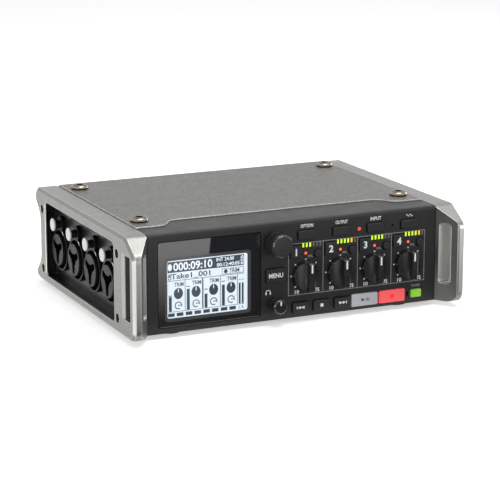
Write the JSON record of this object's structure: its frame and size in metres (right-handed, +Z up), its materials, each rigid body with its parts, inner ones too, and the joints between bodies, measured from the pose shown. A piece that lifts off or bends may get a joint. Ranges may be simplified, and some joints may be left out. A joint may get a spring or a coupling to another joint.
{
  "type": "portable field recorder",
  "caption": "Portable field audio recorder: metal case between die-cast side frames, with display, trim knobs, transport keys, side jack bays and a rear battery drawer.",
  "frame": {"origin": "on the ground, under the middle of the case", "axes": "+X to the right seen from the front, +Y from the front panel to the rear panel, +Z up"},
  "size_m": [0.1782, 0.14, 0.0543],
  "materials": {
    "frame_paint": "die-cast frame with fine satin silver paint",
    "cover_paint": "sheet metal, warm grey satin paint with a fine grain",
    "panel_moulding": "moulded charcoal plastic, fine matt texture",
    "chassis_paint": "black powder coat",
    "tray_black": "black painted metal",
    "foot_rubber": "soft black rubber",
    "bright_screw": "nickel-plated steel",
    "black_screw": "black oxide steel",
    "window_lens": "glossy black-edged display lens",
    "screen": "backlit liquid-crystal screen",
    "circuit_board": "green circuit board with components",
    "control_body": "pressed metal component bodies",
    "lamp": "clear light pipes",
    "jack_black": "glass-filled black plastic",
    "socket_nickel": "nickel-plated sockets",
    "key_black": "matt silicone key",
    "key_play": "translucent grey key, lit from behind",
    "key_record": "translucent key, lit red",
    "key_power": "translucent key, lit green",
    "knob_black": "soft-touch black knob",
    "shaft_steel": "turned steel shaft",
    "tab_silver": "silver-white push tab",
    "cover_rubber": "black moulded cover",
    "drawer_plastic": "black moulded battery drawer",
    "cell_sleeve": "plain printed cell sleeve"
  },
  "bodies": {
    "case": {"bottom_chassis": "chassis_paint", "top_cover": "cover_paint", "front_panel": "panel_moulding", "side_frame_left": "frame_paint", "side_frame_right": "frame_paint", "left_jack_panel": "tray_black", "right_jack_panel": "tray_black", "rear_panel": "chassis_paint", "rubber_feet": "foot_rubber", "top_screws": "bright_screw", "frame_screws": "black_screw", "display_window": "window_lens", "lcd_module": "screen", "control_board": "circuit_board", "main_board": "circuit_board", "rotary_controls": "control_body", "indicator_lamps": "lamp", "input_jack_1": "jack_black", "input_jack_2": "jack_black", "input_jack_3": "jack_black", "input_jack_4": "jack_black", "output_jacks": "jack_black", "phones_and_line_jacks": "jack_black", "card_sockets": "control_body", "rear_sockets": "socket_nickel", "capsule_port": "jack_black"},
    "option_button": {"option_button": "key_black"},
    "output_button": {"output_button": "key_black"},
    "input_button": {"input_button": "key_black"},
    "tone_button": {"tone_button": "key_black"},
    "menu_button": {"menu_button": "key_black"},
    "rewind_button": {"rewind_button": "key_black"},
    "stop_button": {"stop_button": "key_black"},
    "forward_button": {"forward_button": "key_black"},
    "play_button": {"play_button": "key_play"},
    "record_button": {"record_button": "key_record"},
    "power_button": {"power_button": "key_power"},
    "track_key_1": {"track_key_1": "key_black"},
    "track_key_2": {"track_key_2": "key_black"},
    "track_key_3": {"track_key_3": "key_black"},
    "track_key_4": {"track_key_4": "key_black"},
    "solo_key_1": {"solo_key_1": "key_black"},
    "solo_key_2": {"solo_key_2": "key_black"},
    "solo_key_3": {"solo_key_3": "key_black"},
    "solo_key_4": {"solo_key_4": "key_black"},
    "trim_knob_1": {"trim_knob_1": "knob_black"},
    "trim_knob_2": {"trim_knob_2": "knob_black"},
    "trim_knob_3": {"trim_knob_3": "knob_black"},
    "trim_knob_4": {"trim_knob_4": "knob_black"},
    "phones_knob": {"phones_knob": "knob_black"},
    "select_shaft": {"select_shaft": "shaft_steel"},
    "select_knob": {"select_knob": "knob_black"},
    "release_tab_1": {"release_tab_1": "tab_silver"},
    "release_tab_2": {"release_tab_2": "tab_silver"},
    "release_tab_3": {"release_tab_3": "tab_silver"},
    "release_tab_4": {"release_tab_4": "tab_silver"},
    "card_cover": {"card_cover": "cover_rubber"},
    "battery_drawer": {"battery_drawer": "drawer_plastic", "battery_cells": "cell_sleeve"},
    "drawer_screw": {"drawer_screw": "bright_screw"}
  },
  "joints": [
    {"name": "option_button_press", "type": "slide", "parent": "case", "child": "option_button", "axis": [0, 1, 0], "range_m": [0, 0.0005], "stiffness_N_per_m": 400, "springref_m": -0.0005},
    {"name": "output_button_press", "type": "slide", "parent": "case", "child": "output_button", "axis": [0, 1, 0], "range_m": [0, 0.0005], "stiffness_N_per_m": 400, "springref_m": -0.0005},
    {"name": "input_button_press", "type": "slide", "parent": "case", "child": "input_button", "axis": [0, 1, 0], "range_m": [0, 0.0005], "stiffness_N_per_m": 400, "springref_m": -0.0005},
    {"name": "tone_button_press", "type": "slide", "parent": "case", "child": "tone_button", "axis": [0, 1, 0], "range_m": [0, 0.0005], "stiffness_N_per_m": 400, "springref_m": -0.0005},
    {"name": "menu_button_press", "type": "slide", "parent": "case", "child": "menu_button", "axis": [0, 1, 0], "range_m": [0, 0.0005], "stiffness_N_per_m": 400, "springref_m": -0.0005},
    {"name": "rewind_button_press", "type": "slide", "parent": "case", "child": "rewind_button", "axis": [0, 1, 0], "range_m": [0, 0.0005], "stiffness_N_per_m": 400, "springref_m": -0.0005},
    {"name": "stop_button_press", "type": "slide", "parent": "case", "child": "stop_button", "axis": [0, 1, 0], "range_m": [0, 0.0005], "stiffness_N_per_m": 400, "springref_m": -0.0005},
    {"name": "forward_button_press", "type": "slide", "parent": "case", "child": "forward_button", "axis": [0, 1, 0], "range_m": [0, 0.0005], "stiffness_N_per_m": 400, "springref_m": -0.0005},
    {"name": "play_button_press", "type": "slide", "parent": "case", "child": "play_button", "axis": [0, 1, 0], "range_m": [0, 0.0005], "stiffness_N_per_m": 400, "springref_m": -0.0005},
    {"name": "record_button_press", "type": "slide", "parent": "case", "child": "record_button", "axis": [0, 1, 0], "range_m": [0, 0.0005], "stiffness_N_per_m": 400, "springref_m": -0.0005},
    {"name": "power_button_press", "type": "slide", "parent": "case", "child": "power_button", "axis": [0, 1, 0], "range_m": [0, 0.0005], "stiffness_N_per_m": 400, "springref_m": -0.0005},
    {"name": "track_key_1_press", "type": "slide", "parent": "case", "child": "track_key_1", "axis": [0, 1, 0], "range_m": [0, 0.0005], "stiffness_N_per_m": 400, "springref_m": -0.0005},
    {"name": "track_key_2_press", "type": "slide", "parent": "case", "child": "track_key_2", "axis": [0, 1, 0], "range_m": [0, 0.0005], "stiffness_N_per_m": 400, "springref_m": -0.0005},
    {"name": "track_key_3_press", "type": "slide", "parent": "case", "child": "track_key_3", "axis": [0, 1, 0], "range_m": [0, 0.0005], "stiffness_N_per_m": 400, "springref_m": -0.0005},
    {"name": "track_key_4_press", "type": "slide", "parent": "case", "child": "track_key_4", "axis": [0, 1, 0], "range_m": [0, 0.0005], "stiffness_N_per_m": 400, "springref_m": -0.0005},
    {"name": "solo_key_1_press", "type": "slide", "parent": "case", "child": "solo_key_1", "axis": [0, 1, 0], "range_m": [0, 0.0005], "stiffness_N_per_m": 400, "springref_m": -0.0005},
    {"name": "solo_key_2_press", "type": "slide", "parent": "case", "child": "solo_key_2", "axis": [0, 1, 0], "range_m": [0, 0.0005], "stiffness_N_per_m": 400, "springref_m": -0.0005},
    {"name": "solo_key_3_press", "type": "slide", "parent": "case", "child": "solo_key_3", "axis": [0, 1, 0], "range_m": [0, 0.0005], "stiffness_N_per_m": 400, "springref_m": -0.0005},
    {"name": "solo_key_4_press", "type": "slide", "parent": "case", "child": "solo_key_4", "axis": [0, 1, 0], "range_m": [0, 0.0005], "stiffness_N_per_m": 400, "springref_m": -0.0005},
    {"name": "trim_knob_1_turn", "type": "hinge", "parent": "case", "child": "trim_knob_1", "pos_m": [0.00535, -0.062, 0.0234], "axis": [0, 1, 0], "range_deg": [-135, 135]},
    {"name": "trim_knob_2_turn", "type": "hinge", "parent": "case", "child": "trim_knob_2", "pos_m": [0.02435, -0.062, 0.0234], "axis": [0, 1, 0], "range_deg": [-135, 135]},
    {"name": "trim_knob_3_turn", "type": "hinge", "parent": "case", "child": "trim_knob_3", "pos_m": [0.04335, -0.062, 0.0234], "axis": [0, 1, 0], "range_deg": [-135, 135]},
    {"name": "trim_knob_4_turn", "type": "hinge", "parent": "case", "child": "trim_knob_4", "pos_m": [0.06235, -0.062, 0.0234], "axis": [0, 1, 0], "range_deg": [-135, 135]},
    {"name": "phones_knob_turn", "type": "hinge", "parent": "case", "child": "phones_knob", "pos_m": [-0.0112, -0.062, 0.0105], "axis": [0, 1, 0], "range_deg": [-150, 150]},
    {"name": "select_press", "type": "slide", "parent": "case", "child": "select_shaft", "axis": [0, 1, 0], "range_m": [0, 0.0005], "stiffness_N_per_m": 600, "springref_m": -0.0005},
    {"name": "select_turn", "type": "hinge", "parent": "select_shaft", "child": "select_knob", "pos_m": [-0.0112, -0.062, 0.0411], "axis": [0, 1, 0], "continuous": true},
    {"name": "release_tab_1_press", "type": "slide", "parent": "case", "child": "release_tab_1", "axis": [1, 0, 0], "range_m": [0, 0.0015], "stiffness_N_per_m": 400, "springref_m": -0.001},
    {"name": "release_tab_2_press", "type": "slide", "parent": "case", "child": "release_tab_2", "axis": [1, 0, 0], "range_m": [0, 0.0015], "stiffness_N_per_m": 400, "springref_m": -0.001},
    {"name": "release_tab_3_press", "type": "slide", "parent": "case", "child": "release_tab_3", "axis": [1, 0, 0], "range_m": [0, 0.0015], "stiffness_N_per_m": 400, "springref_m": -0.001},
    {"name": "release_tab_4_press", "type": "slide", "parent": "case", "child": "release_tab_4", "axis": [1, 0, 0], "range_m": [0, 0.0015], "stiffness_N_per_m": 400, "springref_m": -0.001},
    {"name": "card_cover_hinge", "type": "hinge", "parent": "case", "child": "card_cover", "pos_m": [0.0852, -0.0112, 0.0255], "axis": [0, 0, 1], "range_deg": [0, 105]},
    {"name": "battery_drawer_slide", "type": "slide", "parent": "case", "child": "battery_drawer", "axis": [0, 1, 0], "range_m": [0, 0.05]},
    {"name": "drawer_screw_turn", "type": "hinge", "parent": "battery_drawer", "child": "drawer_screw", "pos_m": [0.02335, 0.066, 0.024], "axis": [0, 1, 0], "continuous": true}
  ]
}
